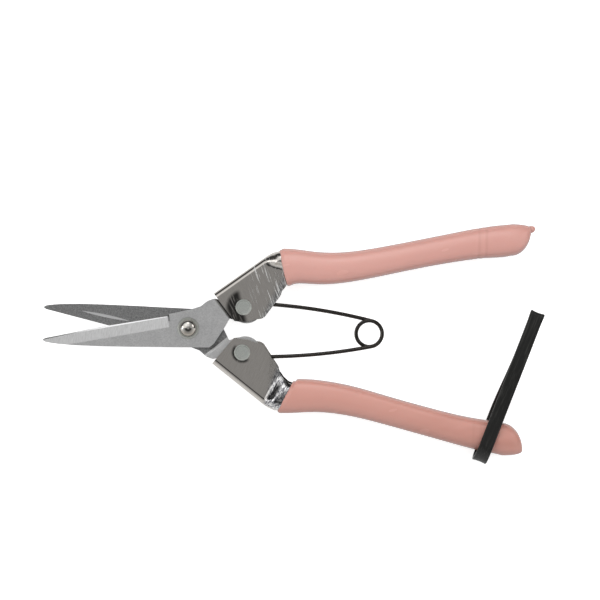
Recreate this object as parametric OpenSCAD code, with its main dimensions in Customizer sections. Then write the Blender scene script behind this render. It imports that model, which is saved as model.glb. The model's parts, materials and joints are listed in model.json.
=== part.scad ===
// Floral snips: two crossed blades on one rivet, each riveted into a folded sheet lever
// with a dipped grip, held open by a wire spring and kept shut by a rubber strap.
// The origin is on the main pivot's axis, in the plane where the blades slide past each
// other. +X points towards the grips, +Y towards the upper grip and +Z out of the front
// blade. The snips are drawn open.

/* [Blades] */
// Thickness of each blade
blade_t = 2; // [1.6:0.1:2.4]
// Clearance between the blades' inner faces
shear_gap = 0.04; // [0.02:0.01:0.08]
// Distance from the pivot to the blades' points
blade_reach = 56.2; // [54:0.1:58]
// Angle of the ground bevel to the blade's flat face
bevel_angle = 23; // [20:1:24]
// Angle of the narrow honed edge to the blade's flat face
honed_angle = 42; // [36:1:48]
// Depth of the hollow ground into each inner face
hollow_depth = 0.15; // [0.1:0.05:0.3]

/* [Main pivot] */
// Diameter of the pivot rivet's shank
pivot_d = 5; // [4:0.5:5.5]
// Diameter of the pivot rivet's domed head
dome_d = 6.2; // [5.8:0.1:7]
// Height of the domed head above its washer
dome_h = 2.1; // [1.6:0.1:2.6]
// Diameter of the pivot washers
washer_d = 8.2; // [7.6:0.1:9]
// Thickness of the pivot washers
washer_t = 0.8; // [0.5:0.1:1]
// Radial running clearance on the pivot
running_gap = 0.05; // [0.02:0.01:0.1]

/* [Levers] */
// Thickness of the folded sheet
sheet_t = 1.2; // [1:0.1:1.3]
// Thickness of the lever's flat head, across both of its walls
head_t = 4.5; // [4.4:0.1:4.6]
// Thickness of the channel that carries the grip
channel_t = 9.2; // [8.6:0.1:9.4]
// Angle of the head's folded rim
rim_angle = 37.3; // [36.5:0.1:38]
// Extra outward slope of the lower lever's handle
lower_splay = 0.0166; // [0:0.0001:0.02]
// Diameter of the lever rivets' shanks
rivet_d = 4; // [3:0.5:4.5]
// Diameter of the lever rivets' heads
rivet_head_d = 6.3; // [5.8:0.1:7]
// Height of the lever rivets' heads
rivet_head_h = 0.8; // [0.5:0.1:1]

/* [Grips] */
// Thickness of the grips from front to back
grip_t = 11; // [10.6:0.1:11.4]
// Radius of the grips' long corners
grip_corner = 4.3; // [3.6:0.1:4.8]
// Radius of the drip left on the upper grip's end
drip_r = 1.3; // [1:0.1:1.5]

/* [Spring] */
// Diameter of the spring wire
wire_d = 1.5; // [1.3:0.05:1.5]
// Distance from the pivot to the middle of the coil
coil_x = 70.1; // [69:0.1:71]
// Mean radius of the coil
coil_r = 5.04; // [4.8:0.01:5.2]
// Distance between the coil's turns
coil_pitch = 1.6; // [1.58:0.01:1.64]

/* [Strap] */
// Length of the strap loop
strap_len = 61.8; // [60:0.1:63]
// Width of the band
strap_w = 5.3; // [4:0.1:6]
// Thickness of the band
strap_t = 1.2; // [1:0.1:1.3]
// Lean of the strap from the +Y axis
strap_lean = 19.3; // [10:0.1:25]

/* [Hidden] */
$fn = 48;
seat_gap = 0.02;

// Where the blade meets its lever
rivet_at = [21.2, 8.75];
tab_at = [22.3, 8.6];
tab_r = 6.1;

// Blade stock: the inner face lies half the shear gap off the middle plane
inner_z = shear_gap / 2;
outer_z = inner_z + blade_t;

// Washer and rivet heights, from the middle plane outwards
washer_z = outer_z + seat_gap;
dome_z = washer_z + washer_t + seat_gap;

// The lever's walls
head_z = head_t / 2;
slot_z = head_z - sheet_t;
channel_z = channel_t / 2;
grip_z = grip_t / 2;

// Stations along the upper handle, from the head to the end of the grip.
// Each row: outer edge x and y, inner edge x and y.
flare_rows = [[27.25, 26.4, 33.0, 10.5], [28.85, 27.8, 34.2, 11.7], [30.6, 29.05, 35.2, 13.2],
              [32.35, 30.0, 36.3, 15.0], [34.2, 30.8, 37.5, 16.9]];
channel_rows = [[36.2, 31.0, 38.6, 18.3], [41.0, 30.6, 42.0, 19.6], [48.0, 30.0, 48.2, 19.6],
                [60.0, 30.1, 60.0, 20.6], [80.0, 33.9, 81.2, 25.4], [100.0, 38.5, 101.2, 29.8],
                [118.0, 42.1, 118.8, 32.3]];
grip_rows = [[50.0, 31.0, 50.0, 18.4], [60.0, 31.3, 60.0, 19.4], [70.0, 33.0, 70.9, 21.6],
             [80.0, 35.1, 81.2, 24.2], [90.0, 37.4, 91.2, 26.4], [100.0, 39.7, 101.2, 28.6],
             [110.0, 42.0, 110.8, 30.2], [118.0, 43.4, 118.4, 31.0]];
// The two grips start and end differently, as dipped ones do
upper_start = [[34.3, 31.3, 37.9, 16.9], [37.4, 32.0, 39.6, 18.2], [41.0, 31.8, 42.2, 18.6]];
lower_start = [[35.4, 31.4, 41.4, 18.8], [38.8, 31.9, 43.4, 18.6], [44.0, 31.4, 46.0, 18.3]];
upper_close = [124.5, 44.2, 124.0, 31.7];
lower_close = [123.0, 44.2, 122.6, 31.6];
// The end of each grip turns on a quarter ellipse from its last full station to this point
upper_end = [131.6, 42.0];
lower_end = [130.8, 42.4];
// Where the drip stands
drip_at = [131.9, 42.7];

// ---------- curves and skins ----------

function row_at(rows, k) = rows[max(0, min(len(rows) - 1, k))];

// A smooth curve through every row of a table, at station t
function curve(rows, t) =
    let (k = min(floor(t), len(rows) - 2), f = t - k,
         a = row_at(rows, k - 1), b = row_at(rows, k), c = row_at(rows, k + 1), d = row_at(rows, k + 2))
    0.5 * (2 * b + (c - a) * f + (2 * a - 5 * b + 4 * c - d) * f * f + (3 * b - a - 3 * c + d) * f * f * f);

function smooth_step(f) = f * f * (3 - 2 * f);

// A handle that is splayed leans outward from here on
splay_from = 45;
function splayed(p, splay) = [p.x, p.y + splay * max(0, p.x - splay_from)];

// A rounded rectangle standing on the line from an inner to an outer edge point.
// grow moves its whole outline outwards.
function ring(outer, inner, half_t, corner, grow, per_corner) =
    let (mid = (outer + inner) / 2, half_w = norm(outer - inner) / 2, u = (outer - inner) / (2 * half_w),
         w = half_w + grow, h = half_t + grow, r = min(corner + grow, w - 0.05, h - 0.05))
    [for (q = [0:3]) for (k = [0:per_corner])
        let (a = 90 * q + 90 * k / per_corner, sw = (q == 0 || q == 3) ? 1 : -1, sh = q < 2 ? 1 : -1,
             across = sw * (w - r) + r * cos(a))
        [mid.x + u.x * across, mid.y + u.y * across, sh * (h - r) + r * sin(a)]];

// Closes a list of equal rings into a solid
module skin(rings) {
    n = len(rings[0]);
    last = len(rings) - 1;
    sides = [for (i = [0:last - 1]) for (j = [0:n - 1])
        let (a = i * n + j, b = i * n + (j + 1) % n, c = a + n, d = b + n)
        each [[a, d, b], [a, c, d]]];
    caps = [[for (j = [0:n - 1]) j], [for (j = [n - 1:-1:0]) last * n + j]];
    polyhedron(points = [for (r = rings) each r], faces = concat(sides, caps), convexity = 6);
}

// ---------- blades ----------

// The cutting edge runs from the heel over the belly to the blunt nose at the blade's point
heel = [-9.5, 4.2];
belly = [-31, -0.05];
edge_end = [-blade_reach + 1, -5.55];
nose = [[-blade_reach, -6.05], [-blade_reach, -6.55], [-blade_reach + 0.6, -6.92],
        [-blade_reach + 1.3, -7.16]];
// The unsharpened back of the blade
spine = [[-52.7, -7.47], [-50, -7.73], [-46, -7.92], [-42, -8.06], [-34, -8.1], [-20, -7.93], [-6, -7.6]];
grind_start = [-7.3, 0.15];
grind_angle = 11.6;
// Taller than any part of a blade
blade_tall = 8;

// Radius of the shank's convex corners
shank_round = 1.4;

module shank_outline() {
    offset(r = shank_round) offset(delta = -shank_round)
        polygon([[-11, -7.75], [8.4, -7.3], [10.2, -5.6], [13.8, 0.2], [15.9, 4.2], [20.2, 2.87], tab_at,
                 [19.5, 13.4], [11, 11.45], [9.9, 11.8], [7.2, 10.8], [4.6, 8.6], [0.5, 7.2], [-4, 6.1],
                 [-11, 4.4]]);
    translate(tab_at) circle(r = tab_r);
}

module blade_outline() {
    shank_outline();
    polygon(concat(nose, spine, [[0, 0], [-4, 6.1], [-8.5, 5], heel, belly, edge_end]));
}

// The shank steps in to the middle plane where it enters the lever
module joggle_block(ramp_from, ramp_len, ramp_angle) {
    far = 90;
    mid_z = blade_t / 2;
    ramp_to = ramp_from + ramp_len;
    rotate([90, 0, ramp_angle])
        translate([0, 0, -far / 2])
            linear_extrude(far)
                polygon([[-far, inner_z], [ramp_from, inner_z], [ramp_to, -mid_z], [far, -mid_z],
                         [far, mid_z], [ramp_to, mid_z], [ramp_from, outer_z], [-far, outer_z]]);
}

// Everything in front of a plane that meets the blade's front face along a line from a point
// and falls away to the left of that line
module ground_face(from, heading, fall, top) {
    length = blade_reach + 4;
    width = 14;
    translate([from.x, from.y, top])
        rotate([0, 0, heading])
            rotate([fall, 0, 0])
                translate([0, -width, 0])
                    cube([length, width, blade_tall]);
}

// A narrow face along an edge, leaving the edge itself a hair thick
module honed_face(from, to) {
    run = to - from;
    edge_t = 0.06;
    past = 2;
    back = 3;
    width = 16;
    translate([from.x, from.y, inner_z + edge_t])
        rotate([0, 0, atan2(run.y, run.x)])
            rotate([honed_angle, 0, 0])
                translate([-past, -back, 0])
                    cube([norm(run) + 2 * past, width, blade_tall]);
}

// A long shallow lens in the inner face
module hollow() {
    lens_len = 20.6;
    lens_w = 1.15;
    lens_r = (lens_len * lens_len + lens_w * lens_w) / (4 * lens_w);
    lens_mid = [-32.1, -3.65];
    lens_angle = 10.1;
    translate([lens_mid.x, lens_mid.y, inner_z - 1])
        rotate([0, 0, lens_angle])
            linear_extrude(1 + hollow_depth)
                intersection() {
                    translate([0, lens_r - lens_w / 2]) circle(r = lens_r, $fn = 200);
                    translate([0, lens_w / 2 - lens_r]) circle(r = lens_r, $fn = 200);
                }
}

module blade(ramp_from, ramp_len, ramp_angle) {
    difference() {
        intersection() {
            linear_extrude(blade_tall, center = true) blade_outline();
            joggle_block(ramp_from, ramp_len, ramp_angle);
        }
        ground_face(grind_start, 180 + grind_angle, bevel_angle, outer_z);
        honed_face(heel, belly);
        honed_face(belly, edge_end);
        hollow();
        cylinder(d = pivot_d + 2 * running_gap, h = blade_tall, center = true);
        translate([rivet_at.x, rivet_at.y, 0])
            cylinder(d = rivet_d + 2 * seat_gap, h = blade_tall, center = true);
    }
}

// ---------- pivot ----------

// A domed head in front and a flatter, chamfered one behind
module pivot_rivet_shape() {
    shank_r = pivot_d / 2;
    head_r = dome_d / 2;
    skirt = 0.5;
    back_h = 0.9;
    chamfer_h = 0.55;
    back_z = -dome_z - back_h;
    rotate_extrude()
        polygon(concat(
            [[0, back_z], [head_r - back_h, back_z], [head_r, back_z + chamfer_h], [head_r, -dome_z],
             [shank_r, -dome_z], [shank_r, dome_z], [head_r, dome_z]],
            [for (a = [0:5:90]) [head_r * cos(a), dome_z + skirt + (dome_h - skirt) * sin(a)]]));
}

module washer() {
    outer_r = washer_d / 2;
    bore_r = pivot_d / 2 + running_gap;
    bevel = [0.3, 0.2];
    rotate_extrude()
        polygon([[bore_r, 0], [outer_r, 0], [outer_r, washer_t - bevel.y], [outer_r - bevel.x, washer_t],
                 [bore_r, washer_t]]);
}

// ---------- levers ----------

// The rim's fold runs straight from beside the blade to the start of the flare
rim_start = [9.65, 13.4];
rim_in = [sin(rim_angle), -cos(rim_angle)];

module head_outline(inset) {
    offset(delta = -inset)
        polygon([rim_start, [17.05, 4.15], [17.7, 3.3], [20, 3], [23, 3.15], [26, 4.1], [28.4, 4.5],
                 [29.5, 5.2], [33, 10.3], [34.2, 12], [29.25, 28.1]]);
}

// The sheet's folded section, half round along the rim and open on the other side
module fold_section(half_t) {
    reach = 40;
    fold = [for (a = [90:10:270]) [half_t * cos(a), half_t * sin(a)]];
    polygon(concat(fold, [[reach, -half_t], [reach, half_t]]));
}

module head_blank(half_t, inset) {
    fold_at = rim_start + rim_in * head_z;
    intersection() {
        translate([fold_at.x, fold_at.y, 0])
            rotate([0, 0, rim_angle - 90])
                rotate([90, 0, 0])
                    linear_extrude(120, center = true)
                        fold_section(half_t);
        linear_extrude(2 * head_t, center = true) head_outline(inset);
    }
}

flare_steps = 10;
channel_steps = 12;
channel_corner = 4;

// Rings of the flare and the channel; grow moves their outline outwards for a lining
function lever_ring(p, half_t, corner, grow, splay) =
    ring(splayed([p[0], p[1]], splay), splayed([p[2], p[3]], splay), half_t, corner, grow, 4);

// The flare starts just under the head's flat walls, so that the two blend
flare_under = 0.06;
flare_late = 0.12;
function flare_half_t(f) =
    let (low = head_z - flare_under, share = min(1, max(0, f * 1.25 - flare_late)))
    low + (channel_z - low) * smooth_step(share);

function flare_rings(grow, splay) =
    [for (i = [0:flare_steps])
        let (f = i / flare_steps, half_t = flare_half_t(f))
        lever_ring(curve(flare_rows, f * (len(flare_rows) - 1)), half_t, min(channel_corner, half_t), grow,
                   splay)];

function channel_row(i) = curve(channel_rows, i / channel_steps * (len(channel_rows) - 1));

function channel_rings(grow, splay) =
    [for (i = [0:channel_steps]) lever_ring(channel_row(i), channel_z, channel_corner, grow, splay)];

// The inside of the folded channel, open along its inner edge
pocket_wall = 2;
pocket_z = channel_z - pocket_wall;
pocket_rows = concat([curve(flare_rows, 2.4), curve(flare_rows, 3.4)],
                     [for (i = [0:channel_steps - 1]) channel_row(i)]);

function across(p) = let (run = [p[0] - p[2], p[1] - p[3]]) run / norm(run);

module channel_pocket(splay) {
    wall = sheet_t + 0.2;
    beyond = 3;
    deep = [for (p = pocket_rows) splayed([p[0], p[1]] - across(p) * wall, splay)];
    open = [for (p = pocket_rows) splayed([p[2], p[3]] - across(p) * beyond, splay)];
    translate([0, 0, -pocket_z])
        linear_extrude(2 * pocket_z)
            polygon(concat(deep, [for (i = [len(open) - 1:-1:0]) open[i]]));
}

module lever(splay) {
    difference() {
        union() {
            head_blank(head_z, 0);
            skin(concat(flare_rings(0, splay), channel_rings(0, splay)));
        }
        head_blank(slot_z, -3);
        channel_pocket(splay);
        translate([rivet_at.x, rivet_at.y, 0])
            cylinder(d = rivet_d + 2 * seat_gap, h = 2 * head_t, center = true);
    }
}

// Both heads are dished a little inside a thin raised rim
module lever_rivet() {
    seat = head_z + seat_gap;
    top = seat + rivet_head_h;
    dish = 0.12;
    bevel = [0.2, 0.25];
    rim_in_r = rivet_head_d / 2 - 0.45;
    dish_r = rivet_head_d / 2 - 0.75;
    head_r = rivet_head_d / 2;
    half = [[rivet_d / 2, seat], [head_r, seat], [head_r, top - bevel.y], [head_r - bevel.x, top],
            [rim_in_r, top], [dish_r, top - dish], [0, top - dish]];
    translate([rivet_at.x, rivet_at.y, 0])
        rotate_extrude()
            polygon(concat(half, [for (i = [len(half) - 1:-1:0]) [half[i].x, -half[i].y]]));
}

// ---------- grips ----------

grip_steps = 22;
end_steps = 6;
// Keeps the last ring of a grip from closing to a point
end_spread = [0, 0.6];

// Past its last full station the grip closes to a rounded end
function grip_ring(i, rows, end, splay) =
    let (full = rows[len(rows) - 1], past = max(0, i - grip_steps) / end_steps,
         p = curve(rows, min(i, grip_steps) / grip_steps * (len(rows) - 1)),
         s = sin(90 * past), c = cos(90 * past),
         outer = [p[0] + (end.x - full[0]) * s, p[1] + (end.y - full[1]) * (1 - c)],
         inner = [p[2] + (end.x - full[2]) * s, p[3] + (end.y - full[3]) * (1 - c)],
         half_t = grip_z * (past == 0 ? 1 : max(0.12, pow(c, 0.7))),
         spread = past < 1 ? [0, 0] : end_spread)
    ring(splayed(outer + spread, splay), splayed(inner - spread, splay), half_t, grip_corner, 0, 6);

module grip(rows, end, splay) {
    lining = flare_rings(seat_gap, splay);
    past_end = channel_row(channel_steps) + 2 * seat_gap * [1, 0, 1, 0];
    difference() {
        skin([for (i = [0:grip_steps + end_steps]) grip_ring(i, rows, end, splay)]);
        skin(concat([for (i = [flare_steps - 2:flare_steps]) lining[i]], channel_rings(seat_gap, splay),
                    [lever_ring(past_end, channel_z, channel_corner, seat_gap, splay)]));
    }
}

// ---------- spring ----------

seat_at = [29.9, 10.25];
leg_bend = [[45, 9.6], [58, 7.9]];
leave_angle = 76;
half_sweep = 180 + leave_angle;
coil_z = coil_pitch * half_sweep / 360;
leg_steps = 16;
coil_steps = 20;
wire_sides = 12;

function bezier(a, b, c, d, t) =
    a * pow(1 - t, 3) + 3 * b * t * pow(1 - t, 2) + 3 * c * t * t * (1 - t) + d * pow(t, 3);

// The lower half of the wire: its leg from the seat, then the coil round to its far left
function wire_point(i) =
    i <= leg_steps
        ? let (t = i / leg_steps, off = [coil_x + coil_r * cos(leave_angle), coil_r * sin(leave_angle)],
               p = bezier(seat_at, leg_bend[0], leg_bend[1], off, t))
          [p.x, -p.y, coil_z * smooth_step(t)]
        : let (f = (i - leg_steps) / coil_steps, a = -leave_angle + half_sweep * f)
          [coil_x + coil_r * cos(a), coil_r * sin(a), coil_z * (1 - f)];

function wire_ring(i) =
    let (p = wire_point(i), ahead = wire_point(i + 1) - wire_point(max(i - 1, 0)),
         run = ahead / norm(ahead), side = cross(run, [0, 0, 1]), s = side / norm(side), up = cross(s, run))
    [for (j = [0:wire_sides - 1])
        let (a = 360 * j / wire_sides)
        p + wire_d / 2 * (s * cos(a) - up * sin(a))];

module spring_half() {
    skin([for (i = [0:leg_steps + coil_steps]) wire_ring(i)]);
}

// ---------- strap ----------

// Bottom of the loop, and the heights of its two sides above the middle plane
strap_foot = [114.2, -48.1];
loop_r = 6.5;
front_tip_z = 7.95;
back_tip_z = 6.4;
// Distances up the strap where its sides start to close on each other and where they meet
part_from = 19;
fold_from = 46;

module strap_loop() {
    foot = strap_t / 2 + loop_r;
    tip = strap_len - strap_t / 2;
    tip_r = (front_tip_z - back_tip_z) / 2;
    ease = 0.6;
    round_foot = [for (a = [90:10:270]) [foot + loop_r * cos(a), loop_r * sin(a)]];
    back_side = [[part_from, -loop_r], [part_from + 3, -loop_r + ease], [fold_from - 3, back_tip_z - ease],
                 [fold_from, back_tip_z]];
    round_tip = [for (a = [-90:30:90]) [tip - tip_r + tip_r * cos(a), back_tip_z + tip_r + tip_r * sin(a)]];
    front_side = [[fold_from, front_tip_z], [part_from, loop_r]];
    loop = concat(round_foot, back_side, round_tip, front_side);
    linear_extrude(strap_w, center = true)
        difference() {
            offset(r = strap_t / 2, $fn = 16) polygon(loop);
            offset(r = -strap_t / 2, $fn = 16) polygon(loop);
        }
}

// ---------- named parts ----------

module turned_over() {
    rotate([180, 0, 0]) children();
}

module front_blade() {
    color([0.66, 0.66, 0.65]) blade(14.8, 0.95, 39);
}

module rear_blade() {
    color([0.55, 0.55, 0.54]) turned_over() blade(11.6, 1.45, 50);
}

module pivot_rivet() {
    color([0.75, 0.74, 0.7]) pivot_rivet_shape();
}

module pivot_washer_front() {
    color([0.6, 0.6, 0.58]) translate([0, 0, washer_z]) washer();
}

module pivot_washer_rear() {
    color([0.6, 0.6, 0.58]) turned_over() translate([0, 0, washer_z]) washer();
}

module upper_frame() {
    color([0.52, 0.5, 0.48]) lever(0);
}

module lower_frame() {
    color([0.52, 0.5, 0.48]) turned_over() lever(lower_splay);
}

module upper_frame_rivet() {
    color([0.64, 0.65, 0.63]) lever_rivet();
}

module lower_frame_rivet() {
    color([0.64, 0.65, 0.63]) turned_over() lever_rivet();
}

module upper_grip() {
    color([0.88, 0.63, 0.59]) {
        grip(concat(upper_start, grip_rows, [upper_close]), upper_end, 0);
        translate([drip_at.x, drip_at.y, 0]) sphere(r = drip_r, $fn = 24);
    }
}

module lower_grip() {
    color([0.84, 0.6, 0.55])
        turned_over()
            grip(concat(lower_start, grip_rows, [lower_close]), lower_end, lower_splay);
}

module spring_lower_leg() {
    color([0.08, 0.08, 0.08]) spring_half();
}

module spring_upper_leg() {
    color([0.08, 0.08, 0.08]) turned_over() spring_half();
}

module strap() {
    color([0.13, 0.13, 0.13])
        translate([strap_foot.x, strap_foot.y, 0])
            rotate([0, 0, 90 - strap_lean])
                rotate([90, 0, 0])
                    strap_loop();
}

front_blade();
rear_blade();
pivot_rivet();
pivot_washer_front();
pivot_washer_rear();
upper_frame();
lower_frame();
upper_frame_rivet();
lower_frame_rivet();
upper_grip();
lower_grip();
spring_lower_leg();
spring_upper_leg();
strap();
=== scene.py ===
"""Looks of the floral snips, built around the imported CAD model.

Lengths are in millimetres, in the CAD model's own frame, until a mesh is made from them.
"""

import json
import math

import bmesh
import bpy
import numpy as np
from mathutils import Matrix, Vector

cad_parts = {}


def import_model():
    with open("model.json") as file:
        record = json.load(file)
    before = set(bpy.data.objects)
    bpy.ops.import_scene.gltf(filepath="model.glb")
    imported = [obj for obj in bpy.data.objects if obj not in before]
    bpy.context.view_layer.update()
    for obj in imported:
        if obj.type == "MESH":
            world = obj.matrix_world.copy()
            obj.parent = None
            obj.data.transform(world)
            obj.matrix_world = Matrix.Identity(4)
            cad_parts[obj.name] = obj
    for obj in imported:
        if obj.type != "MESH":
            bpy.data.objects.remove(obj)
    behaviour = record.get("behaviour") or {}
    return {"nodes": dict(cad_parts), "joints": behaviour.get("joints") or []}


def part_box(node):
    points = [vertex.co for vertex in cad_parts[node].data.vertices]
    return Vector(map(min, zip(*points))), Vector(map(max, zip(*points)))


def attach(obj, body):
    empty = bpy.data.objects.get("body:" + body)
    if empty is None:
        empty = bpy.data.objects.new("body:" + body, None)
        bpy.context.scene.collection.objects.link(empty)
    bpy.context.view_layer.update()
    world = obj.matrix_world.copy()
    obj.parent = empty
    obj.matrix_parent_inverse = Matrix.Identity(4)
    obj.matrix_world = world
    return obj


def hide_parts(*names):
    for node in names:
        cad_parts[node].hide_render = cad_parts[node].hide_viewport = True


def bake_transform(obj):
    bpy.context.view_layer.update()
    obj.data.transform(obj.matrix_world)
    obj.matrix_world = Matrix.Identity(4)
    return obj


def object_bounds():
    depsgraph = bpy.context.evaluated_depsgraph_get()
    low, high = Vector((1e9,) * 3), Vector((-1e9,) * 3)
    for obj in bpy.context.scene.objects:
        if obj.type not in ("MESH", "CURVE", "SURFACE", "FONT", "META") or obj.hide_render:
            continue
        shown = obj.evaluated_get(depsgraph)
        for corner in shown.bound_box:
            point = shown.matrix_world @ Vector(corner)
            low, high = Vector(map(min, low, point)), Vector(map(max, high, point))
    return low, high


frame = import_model()
cad_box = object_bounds()

MM = 0.001

# ---------- driving dimensions ----------

# The folded sheet of the levers
SHEET = 1.2
HEAD_END = (27.25, 33.0)  # x of the outer and the inner edge where the flat head ends
FLARE_END = (34.2, 37.5)  # the same where the channel reaches its full thickness
FRONT_FOOT = 17.05  # x where the head's front edge meets its lower edge
HEAD_HALF = 2.25
CHANNEL_HALF = 4.6
CHANNEL_CORNER = 4.0
BULGE = {  # x at the inner edge and at the rim where the flare starts and where it is full
    1: ((37.0, 28.4), (41.0, 33.6)),
    -1: ((36.2, 29.4), (40.4, 33.6)),
}
RIM_REACH = {1: 0.42, -1: 0.08}  # how far the folded rim stands out past its CAD outline
RIM_FADED = 36.0  # x by which the rim is back on its CAD outline, after fading over RIM_FADE
RIM_FADE = 5.0
BULGE_CURVE = {1: 3.6, -1: 1.0}  # how much the flare's start keeps to the rim before it turns across
FRONT_TRIM = {1: 0.0, -1: 0.6}  # how much shorter the front wall is than the back one
TRIM_FROM = 18.5
WALL_POINTS = 16
TURN_POINTS = 16
LIP_ROLL = 4.0  # how far in from its open edge the channel rolls over
LIP_DROP = 1.9

# The dipped grips
GRIP_FULL = {1: (124.5, 124.0), -1: (123.0, 122.6)}  # x of both edges where the rounded end begins
GRIP_SLANT = {1: 3.6, -1: 6.0}  # how much further back the inner edge starts than the outer one
GRIP_END_SHARE = {1: 0.18, -1: 0.15}  # where the end's point lies between the outer and inner edges
END_SQUARE = {1: 0.5, -1: 1.0}  # how square the end's outer corner is; 1 is an ellipse
START_BULGE = {1: 0.25, -1: 0.1}
GRIP_LIP = 0.8
GRIP_HALF_DEPTH = 5.5
DRIP_REACH = 1.6
DRIP_RADIUS = 1.42
DRIP_LENGTH = 3.2
HOLD_MARKS = (111.4, 114.2)  # x of the two faint bands left where the upper grip was held

# The spring wire
WIRE = 1.5
WIRE_BENDS = ((45.0, 9.6), (58.0, 7.9))
LEAVE_ANGLE = math.radians(76)

# The strap
STRAP_LEAN = math.radians(19.3)
STRAP_THICK = 1.2
STRAP_WIDE = 5.3
STRAP_EDGE = 0.3
STRAP_FOOT = (114.2, -48.1)  # bottom of the loop
STRAP_LENGTH = 61.8
STRAP_RADIUS = 6.5
STRAP_TIP_HEIGHTS = (7.95, 6.4)  # of the front and the back side at the free end
STRAP_PART = 19  # how far up the strap its back side starts to cross over
STRAP_FOLD = 46  # and how far up it has reached the front side
STRAP_STRAIGHT = 12.0  # where the back side's straight run is first sampled
STRAP_FRONT_RISE = 30  # length over which the front side rises to the free end

# The studio
FLOOR_DROP = 0.4  # how far the floor lies below the snips
FLOOR_REACH = 3000.0


# ---------- reading the frame ----------

def cad_triangles(name):
    """A CAD node's triangles in millimetres."""
    mesh = frame["nodes"][name].data
    places = np.empty(len(mesh.vertices) * 3)
    mesh.vertices.foreach_get("co", places)
    mesh.calc_loop_triangles()
    corners = np.array([t.vertices[:] for t in mesh.loop_triangles])
    return places.reshape(-1, 3)[corners] / MM


def silhouette(triangles, x):
    """Lowest and highest y where the plane at x cuts a node."""
    offset = triangles[:, :, 0] - x
    cuts = []
    for a, b in ((0, 1), (1, 2), (2, 0)):
        crossing = offset[:, a] * offset[:, b] < 0
        share = offset[crossing, a] / (offset[crossing, a] - offset[crossing, b])
        start, stop = triangles[crossing, a, 1], triangles[crossing, b, 1]
        cuts.append(start + (stop - start) * share)
    cuts = np.concatenate(cuts)
    return cuts.min(), cuts.max()


def edge_rails(name, side, step=0.5):
    """A lever part's inner and outer edge, y against x, seen as if it were the upper lever's."""
    triangles = cad_triangles(name) * (1, side, side)
    first, last = triangles[:, :, 0].min() + 0.02, triangles[:, :, 0].max() - 0.02
    stations = np.linspace(first, last, int((last - first) / step))
    edges = np.array([silhouette(triangles, x) for x in stations])
    return stations, edges[:, 0], edges[:, 1]


def smooth_rail(stations, values, first, last, order=9):
    """A polynomial through one edge between two stations."""
    used = (stations > first) & (stations < last)
    return np.polynomial.Chebyshev.fit(stations[used], values[used], order)


# ---------- meshes ----------

def piece(name, points, faces, material, smooth=True):
    """A new object from points in millimetres."""
    mesh = bpy.data.meshes.new(name)
    mesh.from_pydata([tuple(p) for p in np.asarray(points) * MM], [], faces)
    mesh.validate()
    work = bmesh.new()
    work.from_mesh(mesh)
    bmesh.ops.recalc_face_normals(work, faces=work.faces)
    work.to_mesh(mesh)
    work.free()
    mesh.polygons.foreach_set("use_smooth", [smooth] * len(mesh.polygons))
    mesh.materials.append(material)
    made = bpy.data.objects.new(name, mesh)
    bpy.context.scene.collection.objects.link(made)
    return made


def loft(rings, closed=False, caps=True):
    """Points and faces of a skin over equal rings."""
    count = len(rings[0])
    points = [p for ring in rings for p in ring]
    spans = len(rings) if closed else len(rings) - 1
    faces = []
    for i in range(spans):
        k = (i + 1) % len(rings)
        for j in range(count):
            n = (j + 1) % count
            faces.append((i * count + j, i * count + n, k * count + n, k * count + j))
    if caps and not closed:
        faces.append(tuple(range(count)))
        faces.append(tuple(range((len(rings) - 1) * count, len(rings) * count)))
    return points, faces


def turned(points, side):
    """Turns the upper lever's points over into the lower lever's when side is -1."""
    return np.asarray(points) * (1, side, side)


def bevelled(made, width, angle=40, segments=2):
    """Softens a piece's sharp edges."""
    bevel = made.modifiers.new("edges", "BEVEL")
    bevel.width = width * MM
    bevel.limit_method = "ANGLE"
    bevel.angle_limit = math.radians(angle)
    bevel.segments = segments
    bevel.harden_normals = True
    return made


def ease(t):
    """Goes smoothly from 0 to 1 as t does."""
    t = np.clip(t, 0, 1)
    return t * t * (3 - 2 * t)


# ---------- materials ----------

def new_material(name):
    material = bpy.data.materials.new(name)
    material.use_nodes = True
    return material, material.node_tree, material.node_tree.nodes["Principled BSDF"]


def add(tree, kind, settings=None, **inputs):
    """A node of a kind, with its settings and inputs; an input may be a value or another node's output."""
    made = tree.nodes.new("ShaderNode" + kind)
    for key, value in (settings or {}).items():
        setattr(made, key, value)
    for key, value in inputs.items():
        place = made.inputs[int(key[1:])] if key[0] == "_" else made.inputs[key.replace("_", " ")]
        connect(tree, value, place)
    return made


def connect(tree, value, place):
    if isinstance(value, bpy.types.NodeSocket):
        tree.links.new(value, place)
    else:
        place.default_value = value


def maths(tree, operation, a, b=0.0):
    return add(tree, "Math", {"operation": operation}, _0=a, _1=b).outputs[0]


def ramp(tree, value, low, high, to_low=0.0, to_high=1.0):
    """Maps a value's range smoothly onto another."""
    node = add(tree, "MapRange", {"interpolation_type": "SMOOTHSTEP"}, Value=value)
    for key, number in (("From Min", low), ("From Max", high), ("To Min", to_low), ("To Max", to_high)):
        connect(tree, number, node.inputs[key])
    return node.outputs["Result"]


def mix_colour(tree, share, first, second):
    node = add(tree, "Mix", {"data_type": "RGBA"})
    connect(tree, share, node.inputs["Factor"])
    connect(tree, first, node.inputs[6])
    connect(tree, second, node.inputs[7])
    return node.outputs[2]


def places(tree, turn=0.0, size=(1, 1, 1)):
    """Places on the object, counted in features of a size in millimetres that lie at an angle about Z."""
    source = add(tree, "TexCoord").outputs["Object"]
    mapping = add(tree, "Mapping", {"vector_type": "TEXTURE"}, Vector=source)
    mapping.inputs["Rotation"].default_value = (0, 0, math.radians(turn))
    mapping.inputs["Scale"].default_value = [s * MM for s in size]
    return mapping.outputs[0]


def axis_place(tree, axis):
    """One coordinate on the object in millimetres."""
    return add(tree, "SeparateXYZ", None, Vector=places(tree)).outputs[axis]


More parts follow.
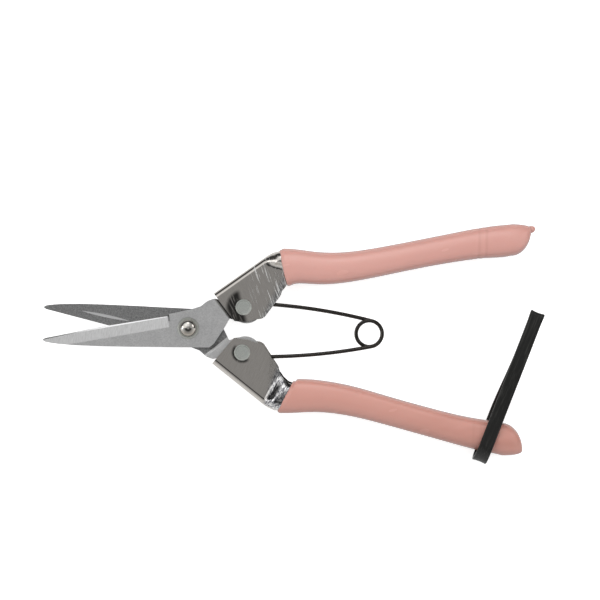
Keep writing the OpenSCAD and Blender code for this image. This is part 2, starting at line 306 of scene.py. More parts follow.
def distance_to(tree, centre):
    """Distance in millimetres from an upright line through a point."""
    away = add(tree, "VectorMath", {"operation": "SUBTRACT"}, _0=places(tree), _1=centre).outputs[0]
    flat = add(tree, "VectorMath", {"operation": "MULTIPLY"}, _0=away, _1=(1, 1, 0)).outputs[0]
    return add(tree, "VectorMath", {"operation": "LENGTH"}, _0=flat).outputs["Value"]


def beyond(tree, centre, direction):
    """How far past a point a place lies along a direction, in millimetres."""
    away = add(tree, "VectorMath", {"operation": "SUBTRACT"}, _0=places(tree), _1=centre).outputs[0]
    return add(tree, "VectorMath", {"operation": "DOT_PRODUCT"}, _0=away, _1=direction).outputs["Value"]


def noise(tree, where, scale, detail=3.0, roughness=0.5):
    made = add(tree, "TexNoise", None, Vector=where, Scale=scale, Detail=detail, Roughness=roughness)
    return made.outputs["Fac"]


def bump(tree, shader, height, distance, strength=1.0, after=None):
    made = add(tree, "Bump", None, Height=height, Distance=distance * MM, Strength=strength)
    if after is not None:
        tree.links.new(after.outputs["Normal"], made.inputs["Normal"])
    tree.links.new(made.outputs["Normal"], shader.inputs["Normal"])
    return made


def grey(level):
    return (level, level, level, 1.0)


def grip_material(name, colour, shade):
    """Glossy dipped plastic: a soft skin with faint runs, a few pale and brown drifts, and painted shade
    where its edges turn away from the eye.
    """
    material, tree, shader = new_material(name)
    drift = noise(tree, places(tree, 8, (26, 9, 9)), 1.0, 2.0)
    by_end = ramp(tree, axis_place(tree, 0), 60.0, 135.0, 0.0, 0.8)
    specks = noise(tree, places(tree, 0, (3, 3, 3)), 1.0, 2.0, 0.5)
    base = mix_colour(tree, maths(tree, "MULTIPLY", ramp(tree, drift, 0.2, 0.6), by_end), colour, shade)
    base = mix_colour(tree, ramp(tree, specks, 0.55, 0.8, 0.0, 0.12), base, (0.62, 0.3, 0.24, 1))
    base = mix_colour(tree, held(tree), base, (0.56, 0.27, 0.22, 1))
    # Painted shade: the skin darkens to brown where it turns away from the eye, along its edges.
    outline = maths(tree, "MULTIPLY", turning_away(tree, 0.5, 0.95), 0.8)
    base = mix_colour(tree, outline, base, (0.2, 0.07, 0.045, 1))
    connect(tree, base, shader.inputs["Base Color"])
    haze = noise(tree, places(tree, 8, (16, 6, 6)), 1.0, 1.0)
    connect(tree, ramp(tree, haze, 0.2, 0.8, 0.2, 0.28), shader.inputs["Roughness"])
    shader.inputs["Subsurface Weight"].default_value = 0.15
    shader.inputs["Subsurface Radius"].default_value = (1.0, 0.45, 0.35)
    shader.inputs["Subsurface Scale"].default_value = 1.2 * MM
    shader.inputs["Coat Weight"].default_value = 0.2
    shader.inputs["Coat Roughness"].default_value = 0.15
    pores = noise(tree, places(tree), 3.0, 2.0)
    bump(tree, shader, pores, 0.006, 0.3)
    return material


def turning_away(tree, start, full):
    """Grows from 0 to 1 as the surface turns away from the eye."""
    facing = add(tree, "LayerWeight", None, Blend=0.5).outputs["Facing"]
    return ramp(tree, facing, start, full)


def held(tree):
    """Faint stains where the grip was held while the plastic set."""
    along = axis_place(tree, 0)
    stains = 0.0
    for mark in HOLD_MARKS:
        away = maths(tree, "ABSOLUTE", maths(tree, "SUBTRACT", along, mark))
        stains = maths(tree, "ADD", stains, ramp(tree, away, 0.1, 0.9, 0.28, 0.0))
    return stains


def nickel_material(name, rivet, shade_side, shade_reach, reflection_from, reflection_dark, scratched):
    """Bright plated sheet: fine scratches, painted shadow and dark reflection streaked beside the rivet,
    painted mottled dark and light reflections on the flatter faces towards the grip, and die marks by the
    grip.
    """
    material, tree, shader = new_material(name)
    shader.inputs["Metallic"].default_value = 1.0
    slope = -65 if scratched else 65
    along = axis_place(tree, 0)
    long_lines = noise(tree, places(tree, slope - 5, (9, 0.5, 3)), 1.0, 1.0, 0.4)
    hair = noise(tree, places(tree, slope, (3, 0.1, 3)), 1.0, 2.0)
    patches = noise(tree, places(tree, slope, (7, 4, 5)), 1.0, 2.0)
    by_grip = ramp(tree, along, 22.0, 26.0)
    mottle = noise(tree, places(tree, slope, (1.5, 0.5, 1)), 1.0, 4.0, 0.7)
    scratch = maths(tree, "MULTIPLY", ramp(tree, long_lines, 0.6, 0.68), ramp(tree, patches, 0.3, 0.45))
    scratch = maths(tree, "MULTIPLY", maths(tree, "MULTIPLY", scratch, by_grip), scratched)
    # Painted shadow and dark reflection of the rivet: near-black streaks on one side of it, fading out with
    # distance.
    rivet_shade_streaks = noise(tree, places(tree, slope, (4, 0.5, 3)), 1.0, 3.0)
    near = ramp(tree, distance_to(tree, rivet), shade_reach[0], shade_reach[1], 1.0, 0.0)
    beside = ramp(tree, beyond(tree, rivet, shade_side), -0.8, 1.4)
    rivet_shade = maths(tree, "MULTIPLY", near, ramp(tree, rivet_shade_streaks, 0.2, 0.48))
    rivet_shade = maths(tree, "MULTIPLY", rivet_shade, beside)
    # Painted reflections: past a line towards the grip, the flatter faces get a mottle of dark and light, as
    # a curved mirror shows.
    reflection_place, reflection_towards = reflection_from
    mottled_reflection = maths(tree, "MULTIPLY", ramp(tree, beyond(tree, reflection_place, reflection_towards), -0.8, 1.6), 0.85)
    facing = add(tree, "SeparateXYZ", None, Vector=add(tree, "NewGeometry").outputs["Normal"])
    level = maths(tree, "ABSOLUTE", facing.outputs["Z"])
    mottled_reflection = maths(tree, "MULTIPLY", mottled_reflection, ramp(tree, level, 0.3, 0.65))
    base = mix_colour(tree, ramp(tree, hair, 0.3, 0.7), (0.6, 0.57, 0.535, 1), (0.68, 0.645, 0.605, 1))
    # Painted shadow and dark reflection beside the rivet.
    base = mix_colour(tree, maths(tree, "MULTIPLY", rivet_shade, 0.95), base, (0.03, 0.029, 0.028, 1))
    # The dark and light of the painted mottled reflections.
    speckled = mix_colour(tree, ramp(tree, mottle, 0.4, 0.6), reflection_dark, (0.9, 0.9, 0.9, 1))
    base = mix_colour(tree, mottled_reflection, base, speckled)
    base = mix_colour(tree, maths(tree, "MULTIPLY", scratch, 0.95), base, (1.0, 1.0, 0.98, 1))
    connect(tree, base, shader.inputs["Base Color"])
    rough = maths(tree, "ADD", maths(tree, "MULTIPLY", scratch, 0.45), ramp(tree, hair, 0.3, 0.7, 0.05, 0.1))
    connect(tree, rough, shader.inputs["Roughness"])
    first = bump(tree, shader, long_lines, 0.012, 0.4 * scratched + 0.05)
    dents = noise(tree, places(tree, 73 if scratched else -73, (1.8, 0.5, 1)), 1.0, 3.0, 0.6)
    die_marks = maths(tree, "MULTIPLY", dents, ramp(tree, along, 29.5, 33.0))
    second = bump(tree, shader, die_marks, 0.3, 0.2, first)
    ripples = noise(tree, places(tree), 0.2, 2.0)
    bump(tree, shader, ripples, 0.03, 0.3, second)
    return material


def blade_material(name, low, high):
    """Satin ground steel: a fine even grain on the flats and drawn lines on the ground faces, with painted
    shadow along the honed edge and in corners, painted shade on the sliding face and a painted highlight in
    its hollow.
    """
    material, tree, shader = new_material(name)
    shader.inputs["Metallic"].default_value = 1.0
    normal = add(tree, "NewGeometry").outputs["True Normal"]
    tilt = maths(tree, "ABSOLUTE", add(tree, "SeparateXYZ", None, Vector=normal).outputs["Z"])
    ground = maths(tree, "MULTIPLY", ramp(tree, tilt, 0.95, 0.97, 1.0, 0.0), ramp(tree, tilt, 0.86, 0.88))
    honed = maths(tree, "MULTIPLY", ramp(tree, tilt, 0.86, 0.88, 1.0, 0.0), ramp(tree, tilt, 0.5, 0.6))
    grain = noise(tree, places(tree), 1.6, 5.0, 0.75)
    clouds = noise(tree, places(tree), 0.35, 3.0)
    lines = noise(tree, places(tree, 86, (4, 0.2, 1)), 1.0, 3.0, 0.6)
    flat = mix_colour(tree, ramp(tree, grain, 0.35, 0.65), grey(low), grey(high))
    flat = mix_colour(tree, ramp(tree, clouds, 0.35, 0.7, 0.0, 0.25), flat, grey(low * 0.8))
    bright = mix_colour(tree, ramp(tree, lines, 0.35, 0.65), grey(0.44), grey(0.55))
    base = mix_colour(tree, ground, flat, bright)
    # Painted shadow: a dark line along the honed facet of the cutting edge.
    base = mix_colour(tree, maths(tree, "MULTIPLY", honed, on_edge(tree)), base, grey(0.12))
    # Painted shade on the sliding face and a painted highlight in its hollow.
    base = mix_colour(tree, facing_middle(tree), base, shaded_face_lit_hollow(tree, grain))
    base = mix_colour(tree, close_shadow(tree), grey(0.02), base)
    connect(tree, base, shader.inputs["Base Color"])
    rough = mix_colour(tree, ground, grey(0.42), grey(0.3))
    connect(tree, rough, shader.inputs["Roughness"])
    height = mix_colour(tree, ground, grain, lines)
    bump(tree, shader, height, 0.012, 0.6)
    return material


def on_edge(tree):
    """1 along the cutting edge, in front of the heel."""
    return ramp(tree, axis_place(tree, 0), -10.4, -9.4, 1.0, 0.0)


def facing_middle(tree):
    """1 on the face a blade slides on and in its hollow, in front of the lever."""
    height = maths(tree, "ABSOLUTE", axis_place(tree, 2))
    return ramp(tree, height, 0.3, 0.34, 1.0, 0.0)


def shaded_face_lit_hollow(tree, grain):
    """The sliding face, dark with painted shade, with a painted highlight in its hollow."""
    height = maths(tree, "ABSOLUTE", axis_place(tree, 2))
    face = mix_colour(tree, ramp(tree, grain, 0.35, 0.65), grey(0.27), grey(0.5))
    ahead = ramp(tree, axis_place(tree, 0), -9.0, -8.0, 1.0, 0.0)
    # Painted highlight in the hollow.
    hollow_highlight = maths(tree, "MULTIPLY", ramp(tree, height, 0.05, 0.1), ahead)
    return mix_colour(tree, hollow_highlight, face, grey(0.95))


def close_shadow(tree):
    """Falls to 0 in the corners and under the other blade."""
    corners = add(tree, "AmbientOcclusion", {"samples": 8}, Distance=2.2 * MM)
    return ramp(tree, corners.outputs["AO"], 0.1, 0.75)


def polished_material():
    """The domed rivet, nearly a mirror, with painted shade on its lower side and a painted dark ring round
    its edge.
    """
    material, tree, shader = new_material("polished_steel")
    shader.inputs["Metallic"].default_value = 1.0
    shade = noise(tree, places(tree), 0.8, 3.0)
    base = mix_colour(tree, ramp(tree, shade, 0.35, 0.65), (0.74, 0.7, 0.64, 1), (0.82, 0.8, 0.76, 1))
    facing = add(tree, "SeparateXYZ", None, Vector=add(tree, "NewGeometry").outputs["Normal"])
    # Painted shade: darker on the side whose normal points towards -Y.
    base = mix_colour(tree, ramp(tree, facing.outputs["Y"], -0.5, 0.0, 0.6, 0.0), base, (0.24, 0.2, 0.16, 1))
    # Painted shade: a dark ring where the dome turns away from the eye.
    base = mix_colour(tree, turning_away(tree, 0.42, 0.58), base, (0.12, 0.09, 0.06, 1))
    connect(tree, base, shader.inputs["Base Color"])
    fine = noise(tree, places(tree), 9.0, 3.0)
    connect(tree, ramp(tree, fine, 0.3, 0.7, 0.07, 0.14), shader.inputs["Roughness"])
    bump(tree, shader, fine, 0.004, 0.5)
    return material


def turned_material(name, dark, light, centre):
    """Satin steel with faint rings about a rivet's own axis, and a ring of painted shade 2.25 to 2.75 mm out
    from it.
    """
    material, tree, shader = new_material(name)
    shader.inputs["Metallic"].default_value = 1.0
    ringing = maths(tree, "SINE", maths(tree, "MULTIPLY", distance_to(tree, centre), 14.0))
    grain = noise(tree, places(tree), 3.0, 4.0, 0.7)
    mixed = maths(tree, "ADD", maths(tree, "MULTIPLY", ringing, 0.05), grain)
    base = mix_colour(tree, ramp(tree, mixed, 0.3, 0.7), dark, light)
    away = distance_to(tree, centre)
    # Painted shade: a darker ring in the groove round the axis.
    groove_shade = maths(tree, "MULTIPLY", ramp(tree, away, 2.25, 2.45), ramp(tree, away, 2.55, 2.75, 1.0, 0.0))
    base = mix_colour(tree, maths(tree, "MULTIPLY", groove_shade, 0.45), base, (0.3, 0.3, 0.27, 1))
    connect(tree, base, shader.inputs["Base Color"])
    connect(tree, ramp(tree, grain, 0.3, 0.7, 0.36, 0.5), shader.inputs["Roughness"])
    bump(tree, shader, mixed, 0.008, 0.5)
    return material


def wire_material():
    """Black oxide wire, with tiny lighter scuffs."""
    material, tree, shader = new_material("black_wire")
    scuffs = noise(tree, places(tree), 2.6, 4.0, 0.7)
    shader.inputs["Metallic"].default_value = 1.0
    base = mix_colour(tree, ramp(tree, scuffs, 0.4, 0.7), (0.045, 0.042, 0.039, 1), (0.12, 0.11, 0.1, 1))
    connect(tree, base, shader.inputs["Base Color"])
    connect(tree, ramp(tree, scuffs, 0.3, 0.7, 0.16, 0.28), shader.inputs["Roughness"])
    bump(tree, shader, scuffs, 0.01, 0.5)
    return material


def rubber_material():
    """Matt black rubber with a fine grain, drawn along the band; the drawn lines are raised in the bump and
    lighter in colour, a painted sheen.
    """
    material, tree, shader = new_material("black_rubber")
    lean = 90 - math.degrees(STRAP_LEAN)
    drawn = noise(tree, places(tree, lean, (14, 0.5, 0.5)), 1.0, 2.0, 0.5)
    grain = noise(tree, places(tree), 4.0, 4.0, 0.7)
    # The drawn lines are real ridges in the bump; their lighter colour is a painted sheen.
    base = mix_colour(tree, ramp(tree, drawn, 0.52, 0.72), (0.006, 0.006, 0.0055, 1), (0.03, 0.03, 0.027, 1))
    connect(tree, base, shader.inputs["Base Color"])
    connect(tree, ramp(tree, grain, 0.3, 0.7, 0.36, 0.5), shader.inputs["Roughness"])
    first = bump(tree, shader, drawn, 0.08, 0.5)
    bump(tree, shader, grain, 0.02, 0.5, first)
    return material


# ---------- levers ----------

def sheet_ring(outer, inner, grown_at, trim, rim_reach):
    """A folded sheet's section: round the outside from one open edge to the other, then back inside."""
    width = np.linalg.norm(outer - inner)
    away = (outer - inner) / width
    width += rim_reach
    rim_half = HEAD_HALF + (CHANNEL_HALF - HEAD_HALF) * grown_at(1.0)
    corner = min(CHANNEL_CORNER, rim_half - 0.001)

    def half(offset, trimmed):
        radius = corner - offset
        points = []
        for share in np.linspace(0, 1, WALL_POINTS):
            grown = grown_at(share)
            across = share * (width - corner)
            sag = LIP_DROP * grown * max(0.0, 1 - across / LIP_ROLL) ** 2
            height = HEAD_HALF + (CHANNEL_HALF - HEAD_HALF) * grown - sag - offset
            points.append((across + trimmed * (1 - share), height))
        for t in np.linspace(0, math.pi / 2, TURN_POINTS)[1:]:
            points.append((width - corner + radius * math.sin(t), rim_half - corner + radius * math.cos(t)))
        return points

    def wall(offset):
        return half(offset, 0.0) + [(a, -z) for a, z in reversed(half(offset, trim))]

    section = wall(0.0) + wall(SHEET)[::-1]
    return [(inner[0] + away[0] * a, inner[1] + away[1] * a, z) for a, z in section]


def frame_piece(name, side, material):
    """One lever's folded sheet, from its flat head through the flare into the channel."""
    stations, low, high = edge_rails(name, side, 0.4)
    knots = np.cumsum([0, 44, 60, 40])
    index = np.arange(knots[-1] + 1)
    outer_x = np.interp(index, knots, [stations[0], HEAD_END[0], FLARE_END[0], stations[-1] - 0.8])
    inner_x = np.interp(index, knots, [FRONT_FOOT, HEAD_END[1], FLARE_END[1], stations[-1]])
    bulge_from, bulge_to = BULGE[side]
    rings = []
    for a, b in zip(outer_x, inner_x):
        outer = np.array([a, np.interp(a, stations, high)])
        inner = np.array([b, np.interp(b, stations, low)])

        def grown_at(share, a=a, b=b):
            x = b + (a - b) * share
            turned_share = share ** BULGE_CURVE[side]
            first = np.interp(turned_share, (0, 1), bulge_from)
            last = np.interp(turned_share, (0, 1), bulge_to)
            return float(ease((x - first) / (last - first)))

        trim = FRONT_TRIM[side] * float(ease((b - TRIM_FROM) / 1.0))
        reach = RIM_REACH[side] * float(ease((RIM_FADED - a) / RIM_FADE))
        rings.append(sheet_ring(outer, inner, grown_at, trim, reach))
    points, faces = loft(rings, caps=False)
    count = len(rings[0])
    for first in (0, (len(rings) - 1) * count):
        for j in range(count // 2 - 1):
            faces.append((first + j, first + j + 1, first + count - 2 - j, first + count - 1 - j))
    made = piece(name + "_sheet", turned(points, side), faces, material)
    return bevelled(made, 0.25, angle=50, segments=3)


# ---------- grips ----------

def grip_outline(half_width, half_depth, count=56):
    """A dipped grip's section: broad and round outside, tighter on the inner side."""
    crest = -0.12 * half_width
    outline = []
    for k in range(count):
        t = 2 * math.pi * k / count
        c, s = math.cos(t), math.sin(t)
        reach = half_width - crest if c > 0 else half_width + crest
        power = 2 / (2.25 if c > 0 else 3.0)
        across = math.copysign(abs(c) ** power, c) * reach + crest
        depth = math.copysign(abs(s) ** (2 / 2.5), s) * half_depth
        outline.append((across, depth))
    return np.array(outline)


def grip_piece(name, side, material):
    """One dipped grip: a rolled lip, a long skin between the CAD edges and a rounded end."""
    stations, low, high = edge_rails(name, side)
    start = (stations[0], stations[0] + GRIP_SLANT[side])
    full = GRIP_FULL[side]
    _, box_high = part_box(name)
    tip_x = box_high[0] / MM - (DRIP_REACH if side == 1 else 0)
    outer_rail = smooth_rail(stations, high, start[0] + 0.3, full[0])
    inner_rail = smooth_rail(stations, low, start[1] + 0.3, full[1])
    half_depth = GRIP_HALF_DEPTH

    def station(a, b):
        return np.array([a, outer_rail(a)]), np.array([b, inner_rail(b)])

    def ring(outer, inner, depth, shrink=0.0, lead=0.0, bulge=0.0, side_share=1.0):
        middle, half_width = (outer + inner) / 2, np.linalg.norm(outer - inner) / 2
        away = (outer - inner) / (2 * half_width)
        ahead = np.array([away[1], -away[0]])
        outline = grip_outline(half_width - shrink * side_share, depth - shrink)
        bow = lead - bulge * (1 - (outline[:, 0] / half_width) ** 2)
        flat = middle + np.outer(outline[:, 0], away) + np.outer(bow, ahead)
        return np.column_stack([flat, outline[:, 1]])

    rings = []
    outer, inner = station(*start)
    rings.append(ring(outer, inner, half_depth, 2.5, 2.5, START_BULGE[side]))
    for t in np.linspace(0, math.pi / 2, 6):
        shrink = GRIP_LIP * (1 - math.sin(t))
        lead = GRIP_LIP * (1 - math.cos(t))
        rings.append(ring(outer, inner, half_depth, shrink, lead, START_BULGE[side], 0.35))
    count = 110
    for k in range(1, count + 1):
        f = (k / count) ** 1.1
        a = start[0] + GRIP_LIP + (full[0] - start[0] - GRIP_LIP) * f
        b = start[1] + GRIP_LIP + (full[1] - start[1] - GRIP_LIP) * f
        outer, inner = station(a, b)
        bead = 0.22 * math.exp(-(((a - start[0]) - 1.0) / 1.6) ** 2)
        marks = sum(0.14 * math.exp(-((a - m) / 0.55) ** 2) for m in HOLD_MARKS) if side == 1 else 0
        fade = START_BULGE[side] * math.exp(-((a - start[0] - GRIP_LIP) / 4.0) ** 2)
        rings.append(ring(outer, inner, half_depth, marks - bead, 0.0, fade))
    outer, inner = station(*full)
    tip = outer + (inner - outer) * GRIP_END_SHARE[side]
    for t in np.linspace(0, math.pi / 2, 16)[1:]:
        s, c = math.sin(t), max(0.04, math.cos(t))
        top = c ** END_SQUARE[side]
        outer_now = np.array([outer[0] + (tip_x - outer[0]) * s, tip[1] + (outer[1] - tip[1]) * top])
        inner_now = np.array([inner[0] + (tip_x - inner[0]) * s, tip[1] + (inner[1] - tip[1]) * c])
        rings.append(ring(outer_now, inner_now, half_depth * c ** 0.62))
    points, faces = loft(rings)
    if side == 1:
        drip_points, drip_faces = drip(tip_x, tip[1])
        faces += [tuple(len(points) + i for i in face) for face in drip_faces]
        points = list(points) + drip_points
    return piece(name + "_skin", turned(points, side), faces, material)


def drip(tip_x, tip_y):
    """The drop left where the plastic ran off the end."""
    rings = []
    for t in np.linspace(0.02, 1, 14):
        radius = DRIP_RADIUS * math.sqrt(max(0.0, 1 - ((t - 0.42) / 0.6) ** 2)) + 0.02
        centre = np.array([tip_x - DRIP_REACH + DRIP_LENGTH * t, tip_y + 0.05 + 0.5 * t])
        ring = []
        for a in np.linspace(0, 2 * math.pi, 20, endpoint=False):
            ring.append((centre[0], centre[1] + radius * math.cos(a), radius * math.sin(a)))
        rings.append(ring)
    points, faces = loft(rings)
    return points, faces


# ---------- spring ----------

def joint_place(name):
    """Where a joint's axis lies, in millimetres."""
    joint = next(j for j in frame["joints"] if j["name"] == name)
    return np.array(joint["pos_m"]) / MM


def bezier(a, b, c, d, t):
    return a * (1 - t) ** 3 + 3 * b * t * (1 - t) ** 2 + 3 * c * t * t * (1 - t) + d * t ** 3


def spring_path():
    """The wire's centre line, from the lower seat round the coil to the upper one."""
    seat = joint_place("spring_seat")
    coil = joint_place("spring_coil")
    _, box_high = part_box("spring_lower_leg")
    radius = box_high[0] / MM - coil[0] - WIRE / 2
    rise = box_high[2] / MM - WIRE / 2
    off = np.array([coil[0] + radius * math.cos(LEAVE_ANGLE), radius * math.sin(LEAVE_ANGLE)])
    start = np.array([seat[0], abs(seat[1])])
    leg = []
    for t in np.linspace(0, 1, 70):
        p = bezier(start, np.array(WIRE_BENDS[0]), np.array(WIRE_BENDS[1]), off, t)
        leg.append((p[0], -p[1], rise * ease(t)))
    sweep = math.pi + LEAVE_ANGLE
    coiled = []
    for f in np.linspace(0, 1, 60)[1:]:
        a = -LEAVE_ANGLE + sweep * f
        coiled.append((coil[0] + radius * math.cos(a), radius * math.sin(a), rise * (1 - f)))
    half = leg + coiled
    return np.array(half + [(x, -y, -z) for x, y, z in reversed(half[:-1])])


def spring_piece(material):
    path = spring_path()
    ahead = np.gradient(path, axis=0)
    ahead /= np.linalg.norm(ahead, axis=1)[:, None]
    side = np.cross(ahead, (0, 0, 1))
    side /= np.linalg.norm(side, axis=1)[:, None]
    up = np.cross(side, ahead)
    rings = []
    for p, s, u in zip(path, side, up):
        angles = np.linspace(0, 2 * math.pi, 16, endpoint=False)
        rings.append([p + WIRE / 2 * (s * math.cos(a) + u * math.sin(a)) for a in angles])
    points, faces = loft(rings)
    return piece("spring_wire", points, faces, material)


# ---------- strap ----------

def strap_piece(material):
    """A rubber band folded flat: its sides part round the lower grip and meet at the free end."""
    along = np.array([math.sin(STRAP_LEAN), math.cos(STRAP_LEAN), 0.0])
    across = np.array([math.cos(STRAP_LEAN), -math.sin(STRAP_LEAN), 0.0])
    foot = np.array([*STRAP_FOOT, 0.0])
    radius = STRAP_RADIUS
    front_z, back_z = STRAP_TIP_HEIGHTS
    bottom = STRAP_THICK / 2 + radius
    tip = STRAP_LENGTH - STRAP_THICK / 2
    tip_r = (front_z - back_z) / 2

    # The centre line of the loop, as (distance up the strap, height)
    line = []
    for a in np.linspace(90, 270, 25):
        line.append((bottom + radius * math.cos(math.radians(a)), radius * math.sin(math.radians(a))))
    for s in np.linspace(0, 1, 40)[1:]:
        at = STRAP_STRAIGHT + (STRAP_FOLD - STRAP_STRAIGHT) * s
        crossed = ease((at - STRAP_PART) / (STRAP_FOLD - STRAP_PART))
        line.append((at, -radius + (back_z + radius) * crossed))
    for at in np.linspace(STRAP_FOLD, tip - tip_r, 14)[1:]:
        line.append((at, back_z))
    for a in np.linspace(-90, 90, 13)[1:]:
        line.append((tip - tip_r + tip_r * math.cos(math.radians(a)),
                     back_z + tip_r + tip_r * math.sin(math.radians(a))))
    for s in np.linspace(0, 1, 50)[1:-1]:
        at = tip - tip_r + (bottom - tip + tip_r) * s
        lowered = ease((STRAP_FOLD - at) / STRAP_FRONT_RISE)
        line.append((at, front_z + (radius - front_z) * lowered))
    line = np.array(line)

    ahead = np.roll(line, -1, axis=0) - np.roll(line, 1, axis=0)
    ahead /= np.linalg.norm(ahead, axis=1)[:, None]
    out = np.column_stack([ahead[:, 1], -ahead[:, 0]])
    bend = np.exp(-((line[:, 0] - tip) / 2.2) ** 2) + 0.8 * np.exp(-((line[:, 0]) / 3.0) ** 2)
    rings = []
    for (at, z), (oa, oz), b in zip(line, out, bend):
        ring = []
        half_w = STRAP_WIDE / 2 + 0.12 * b
        for w, t in band_outline(half_w, STRAP_THICK / 2):
            curl = 0.3 * b * (w / half_w) ** 2
            p = foot + along * (at + oa * (t + curl)) + across * w
            p[2] = z + oz * (t + curl)
            ring.append(p)
        rings.append(ring)
    points, faces = loft(rings, closed=True)
    return piece("strap_band", points, faces, material)


def band_outline(half_width, half_thick):
    """A flat band's section with rounded edges."""
    r = STRAP_EDGE
    outline = []
    for q, (cw, ct) in enumerate(((1, 1), (-1, 1), (-1, -1), (1, -1))):
        for k in range(5):
            a = math.pi / 2 * (q + k / 4)
            outline.append((cw * (half_width - r) + r * math.cos(a), ct * (half_thick - r) + r * math.sin(a)))
    flat = []
    for i, p in enumerate(outline):
        n = outline[(i + 1) % len(outline)]
        flat.append(p)
        gap = abs(n[0] - p[0])
        if gap > 1:
            flat += [(p[0] + (n[0] - p[0]) * f, p[1] + (n[1] - p[1]) * f) for f in (0.2, 0.4, 0.6, 0.8)]
    return flat


# ---------- studio ----------

def either(tree, share, first, second):
    """One shader where the share is 0 and another where it is 1."""
    return add(tree, "MixShader", None, _0=share, _1=first.outputs[0], _2=second.outputs[0])


def floor_material():
    """Pale seamless floor, clear from below. Bright metal mirrors it as ending in a dark room on one side."""
    material, tree, shader = new_material("pale_floor")
    shader.inputs["Base Color"].default_value = grey(0.9)
    shader.inputs["Roughness"].default_value = 0.8
    glow = add(tree, "Emission", None, Color=grey(1.0), Strength=0.62)
    lit = add(tree, "AddShader", None, _0=glow.outputs[0], _1=shader.outputs[0])
    geometry = add(tree, "NewGeometry")
    back = add(tree, "SeparateXYZ", None, Vector=geometry.outputs["Incoming"])
    far_side = ramp(tree, back.outputs["Z"], 0.02, 0.5, 0.05, 0.92)
    towards = ramp(tree, back.outputs["Y"], -0.15, 0.15)
    mirrored = add(tree, "Emission", None, Color=mix_colour(tree, towards, far_side, grey(0.83)))
    rays = add(tree, "LightPath")
    dim = add(tree, "Emission", None, Color=grey(0.22))
    unseen = either(tree, rays.outputs["Is Glossy Ray"], dim, mirrored)
    seen = either(tree, rays.outputs["Is Camera Ray"], unseen, lit)
    clear = add(tree, "BsdfTransparent")
    mixed = either(tree, geometry.outputs["Backfacing"], seen, clear)
    tree.links.new(mixed.outputs[0], tree.nodes["Material Output"].inputs["Surface"])
    return material


def floor():
    """A wide level plane under the snips."""
    size = FLOOR_REACH
    level = cad_box[0][2] / MM - FLOOR_DROP
    corners = [(-size, -size, level), (size, -size, level), (size, size, level), (-size, size, level)]
    made = piece("studio_floor", corners, [(0, 1, 2, 3)], floor_material(), smooth=False)


def sky_ramp(tree, height, stops):
    """A grey level against the angle from straight overhead, in degrees."""
    colours = add(tree, "ValToRGB", None, Fac=height)
    elements = colours.color_ramp.elements
    while len(elements) > 1:
        elements.remove(elements[-1])
    for k, (angle, level) in enumerate(sorted(stops, reverse=True)):
        place = max(0.0, math.cos(math.radians(angle)))
        stop = elements[0] if k == 0 else elements.new(place)
        stop.position = place
        stop.color = grey(level)
    return colours.outputs["Color"]


def patch(tree, direction, heading, down, spread, level):
    """A soft round light at a heading from +X and an angle down from overhead, all in degrees."""
    low, turn = math.radians(down), math.radians(heading)
    middle = (math.sin(low) * math.cos(turn), math.sin(low) * math.sin(turn), math.cos(low))
    near = add(tree, "VectorMath", {"operation": "DOT_PRODUCT"}, _0=direction, _1=middle).outputs["Value"]
    edge, core = math.cos(math.radians(spread)), math.cos(math.radians(spread * 0.6))
    return ramp(tree, near, edge, core, 0.0, level)


def world():
    """White walls for soft light. Bright parts mirror soft boxes above and dark gaps round the camera."""
    made = bpy.data.worlds.new("studio")
    bpy.context.scene.world = made
    made.use_nodes = True
    tree = made.node_tree
    background = tree.nodes["Background"]
    direction = add(tree, "TexCoord").outputs["Generated"]
    split = add(tree, "SeparateXYZ", None, Vector=direction)
    above = sky_ramp(tree, split.outputs["Z"], [(0, 0.33), (7, 0.33), (12, 0.45), (22, 1.0), (42, 1.0),
                                                (56, 0.5), (66, 0.08), (90, 0.04)])
    below = sky_ramp(tree, split.outputs["Z"], [(0, 0.33), (7, 0.33), (10, 0.04), (24, 0.04), (33, 0.3),
                                                (47, 0.5), (64, 0.72), (90, 0.8)])
    right_gap = ramp(tree, split.outputs["X"], 0.05, 0.2, 1.0, 0.4)
    above = add(tree, "VectorMath", {"operation": "MULTIPLY"}, _0=above, _1=right_gap).outputs[0]
    colour = mix_colour(tree, ramp(tree, split.outputs["Y"], -0.06, 0.06), below, above)
    top_patch = patch(tree, direction, 95, 50, 14, 0.7)
    left_patch = patch(tree, direction, 177, 56, 15, 1.3)
    right_patch = patch(tree, direction, 28, 51, 14, 1.2)
    lights = maths(tree, "ADD", maths(tree, "ADD", top_patch, left_patch), right_patch)
    colour = add(tree, "VectorMath", {"operation": "ADD"}, _0=colour, _1=lights).outputs[0]
    rays = add(tree, "LightPath")
    seen = mix_colour(tree, rays.outputs["Is Glossy Ray"], grey(1.0), colour)
    tree.links.new(seen, background.inputs["Color"])
    light = add(tree, "Background", None, Color=grey(1.0), Strength=0.55)
    mixed = either(tree, rays.outputs["Is Diffuse Ray"], background, light)
    tree.links.new(mixed.outputs[0], tree.nodes["World Output"].inputs["Surface"])


def softbox(name, place, aim, size, brightness):
    """A square area light of a given brightness, facing a point."""
    light = bpy.data.lights.new(name, "AREA")
    light.shape = "RECTANGLE"
    light.size, light.size_y = size
    light.energy = brightness * math.pi * size[0] * size[1]
    made = bpy.data.objects.new(name, light)
    bpy.context.scene.collection.objects.link(made)
    made.location = place
    made.rotation_euler = (Vector(aim) - Vector(place)).to_track_quat("-Z", "Y").to_euler()
    made.visible_glossy = False


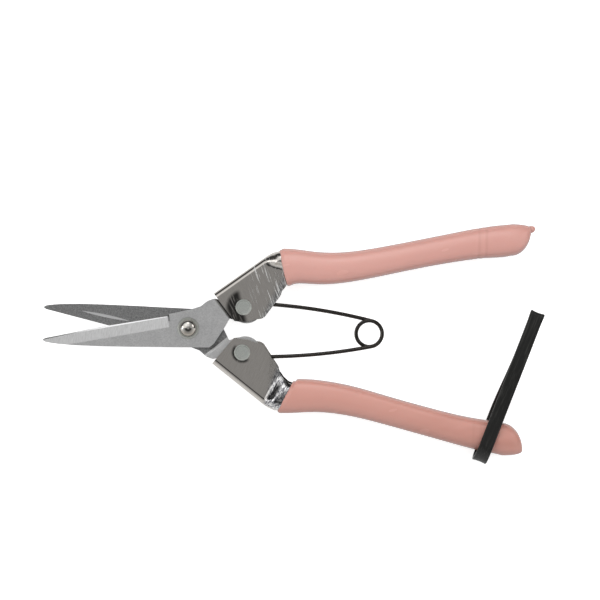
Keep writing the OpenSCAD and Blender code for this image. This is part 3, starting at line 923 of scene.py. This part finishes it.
def studio():
    """The world and three soft boxes round the snips."""
    world()
    centre = ((cad_box[0] + cad_box[1]) / 2)
    aim = (centre[0], centre[1], 0)
    softbox("top_box", (centre[0], centre[1] + 0.8, 0.85), aim, (1.0, 0.6), 2.6)
    softbox("left_box", (centre[0] - 0.85, centre[1] + 0.1, 0.85), aim, (0.6, 0.6), 1.6)
    softbox("right_box", (centre[0] + 0.85, centre[1] + 0.1, 0.85), aim, (0.6, 0.6), 1.6)


def camera():
    """Straight above the snips and turned a little, from a distance."""
    distance, across, view_width = 1.0, 0.0429, 0.23265
    up_place, roll, sensor = 0.0122, math.radians(1.8), 36.0
    data = bpy.data.cameras.new("camera")
    data.sensor_width = sensor
    data.lens = sensor * distance / view_width
    data.clip_end = 10
    made = bpy.data.objects.new("camera", data)
    bpy.context.scene.collection.objects.link(made)
    made.location = (across, up_place, distance)
    made.rotation_euler = (0, 0, roll)
    bpy.context.scene.camera = made


# ---------- putting it together ----------

def dress(name, material, width=0.06):
    """Gives a CAD node its material and soft edges."""
    node = frame["nodes"][name]
    node.data.materials.clear()
    node.data.materials.append(material)
    weld = node.modifiers.new("weld", "WELD")
    weld.merge_threshold = 0.002 * MM
    bevelled(node, width, 32)


def centre_of(name):
    """Middle of a CAD node's box, in millimetres."""
    low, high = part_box(name)
    return tuple((low + high) / 2 / MM)


def place(made, body, slot, *nodes):
    """Puts a new piece in the place of its CAD nodes and lets it ride on their body."""
    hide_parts(*nodes)
    if body:
        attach(made, body)


dress("front_blade", blade_material("front_steel", 0.76, 0.92))
# The rear blade's steel is lighter than the front's: painted light, for its tilted tab that catches more
# light.
dress("rear_blade", blade_material("rear_steel", 0.85, 0.98))
dress("pivot_rivet", polished_material())
washers = turned_material("washer_steel", (0.52, 0.53, 0.49, 1), (0.68, 0.69, 0.64, 1), (0, 0, 0))
rivet_dark, rivet_light = (0.62, 0.65, 0.61, 1), (0.78, 0.81, 0.77, 1)
dress("pivot_washer_front", washers)
dress("pivot_washer_rear", washers)
for rivet in ("upper_frame_rivet", "lower_frame_rivet"):
    dress(rivet, turned_material(rivet + "_steel", rivet_dark, rivet_light, centre_of(rivet)))

# Each sheet gets painted shadow beside its rivet and painted mottled reflections towards its grip.
upper_nickel = nickel_material("upper_sheet", centre_of("upper_frame_rivet"), (-0.96, -0.28, 0), (5.6, 7.6),
                               ((33.5, 16.5, 0), (0.9, -0.44, 0)), (0.1, 0.1, 0.11, 1), 1.0)
lower_nickel = nickel_material("lower_sheet", centre_of("lower_frame_rivet"), (-0.71, -0.71, 0), (3.4, 4.6),
                               ((32.2, -20.5, 0), (0.95, -0.3, 0)), (0.05, 0.055, 0.09, 1), 0.0)
place(frame_piece("upper_frame", 1, upper_nickel), "upper_lever", "frame_nickel", "upper_frame")
place(frame_piece("lower_frame", -1, lower_nickel), "lower_lever", "frame_nickel", "lower_frame")

upper_pink = grip_material("upper_grip_plastic", (0.72, 0.385, 0.335, 1), (0.69, 0.355, 0.31, 1))
lower_pink = grip_material("lower_grip_plastic", (0.68, 0.345, 0.29, 1), (0.53, 0.25, 0.2, 1))
place(grip_piece("upper_grip", 1, upper_pink), "upper_lever", "grip_pink", "upper_grip")
place(grip_piece("lower_grip", -1, lower_pink), "lower_lever", "grip_pink", "lower_grip")

spring = spring_piece(wire_material())
place(spring, None, "spring_wire", "spring_lower_leg", "spring_upper_leg")
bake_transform(spring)

place(strap_piece(rubber_material()), "strap", "strap_rubber", "strap")

floor()
studio()
camera()
bpy.context.scene.view_settings.view_transform = "Standard"
